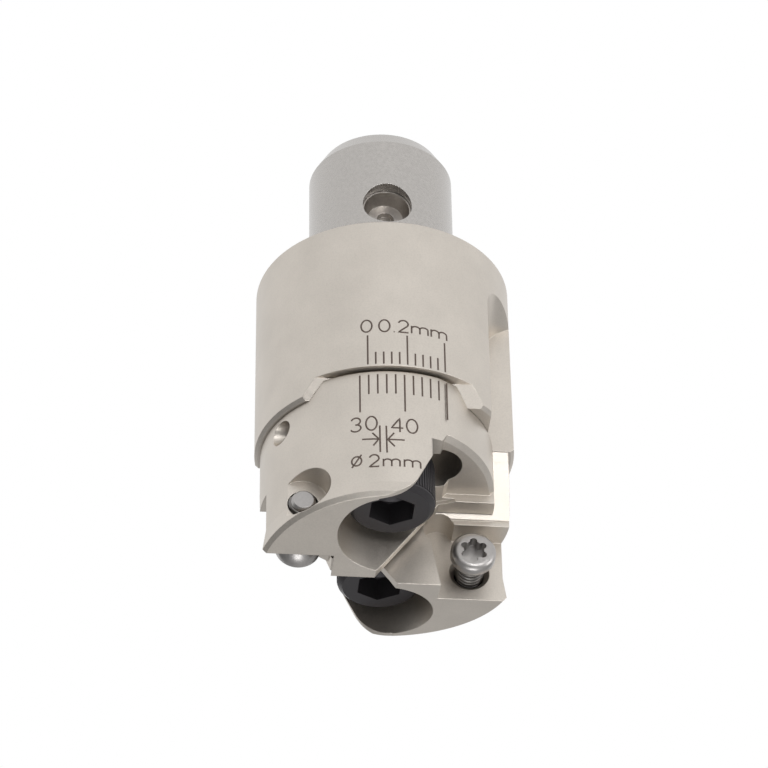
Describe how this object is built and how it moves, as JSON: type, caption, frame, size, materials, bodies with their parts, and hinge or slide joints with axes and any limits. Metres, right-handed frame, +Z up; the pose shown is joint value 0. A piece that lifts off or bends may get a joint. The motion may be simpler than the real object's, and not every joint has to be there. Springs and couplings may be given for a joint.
{
  "type": "boring head",
  "caption": "Twin-edge boring head: shank body with cross pin, two insert holders sliding on a dovetail guide, clamp, insert and adjusting screws.",
  "frame": {"origin": "centre of the flange face at the foot of the spigot", "axes": "+Z up the spigot along the tool axis; the insert holders slide along X, holder a in front (-Y) and holder b behind (+Y)"},
  "size_m": [0.031, 0.031, 0.062],
  "materials": {
    "body_steel": "warm satin nickel on hardened steel",
    "holder_steel": "warm satin nickel on hardened steel",
    "pin_steel": "turned and hardened steel",
    "clamp_screw_black": "black oxide steel",
    "insert_screw_steel": "plain hardened steel",
    "set_screw_black": "black oxide steel"
  },
  "bodies": {
    "body": {"head_body": "body_steel"},
    "holder_a": {"insert_holder_a": "holder_steel"},
    "holder_b": {"insert_holder_b": "holder_steel"},
    "clamp_screw_a": {"clamp_screw_a": "clamp_screw_black"},
    "clamp_screw_b": {"clamp_screw_b": "clamp_screw_black"},
    "insert_screw_a": {"insert_screw_a": "insert_screw_steel"},
    "insert_screw_b": {"insert_screw_b": "insert_screw_steel"},
    "adjusting_screw_a": {"adjusting_screw_a": "set_screw_black"},
    "adjusting_screw_b": {"adjusting_screw_b": "set_screw_black"},
    "floating_pin": {"floating_pin": "pin_steel"}
  },
  "joints": [
    {"name": "holder_a_slide", "type": "slide", "parent": "body", "child": "holder_a", "axis": [-1, 0, 0], "range_m": [0, 0.005]},
    {"name": "holder_b_slide", "type": "slide", "parent": "body", "child": "holder_b", "axis": [1, 0, 0], "range_m": [0, 0.005]},
    {"name": "clamp_screw_a_turn", "type": "hinge", "parent": "body", "child": "clamp_screw_a", "pos_m": [0, -0.0079, -0.03127], "axis": [0, 0, 1], "range_deg": [-90, 0]},
    {"name": "clamp_screw_b_turn", "type": "hinge", "parent": "body", "child": "clamp_screw_b", "pos_m": [0, 0.0079, -0.03127], "axis": [0, 0, 1], "range_deg": [-90, 0]},
    {"name": "insert_screw_a_turn", "type": "hinge", "parent": "holder_a", "child": "insert_screw_a", "pos_m": [-0.0103, 0, -0.0374], "axis": [0, -1, 0], "range_deg": [-360, 0]},
    {"name": "insert_screw_b_turn", "type": "hinge", "parent": "holder_b", "child": "insert_screw_b", "pos_m": [0.0103, 0, -0.0374], "axis": [0, 1, 0], "range_deg": [-360, 0]},
    {"name": "adjusting_screw_a_turn", "type": "hinge", "parent": "body", "child": "adjusting_screw_a", "pos_m": [0, -0.0073, -0.0265], "axis": [1, 0, 0], "range_deg": [0, 3001]},
    {"name": "adjusting_screw_b_turn", "type": "hinge", "parent": "body", "child": "adjusting_screw_b", "pos_m": [0, 0.0073, -0.0265], "axis": [-1, 0, 0], "range_deg": [0, 3001]},
    {"name": "floating_pin_slide", "type": "slide", "parent": "body", "child": "floating_pin", "axis": [0, 1, 0], "range_m": [-0.0005, 0.0005]}
  ],
  "couplings": [
    {"joint": "adjusting_screw_a_turn", "follows": "holder_a_slide", "rad_per_m": 10472},
    {"joint": "adjusting_screw_b_turn", "follows": "holder_b_slide", "rad_per_m": 10472}
  ]
}
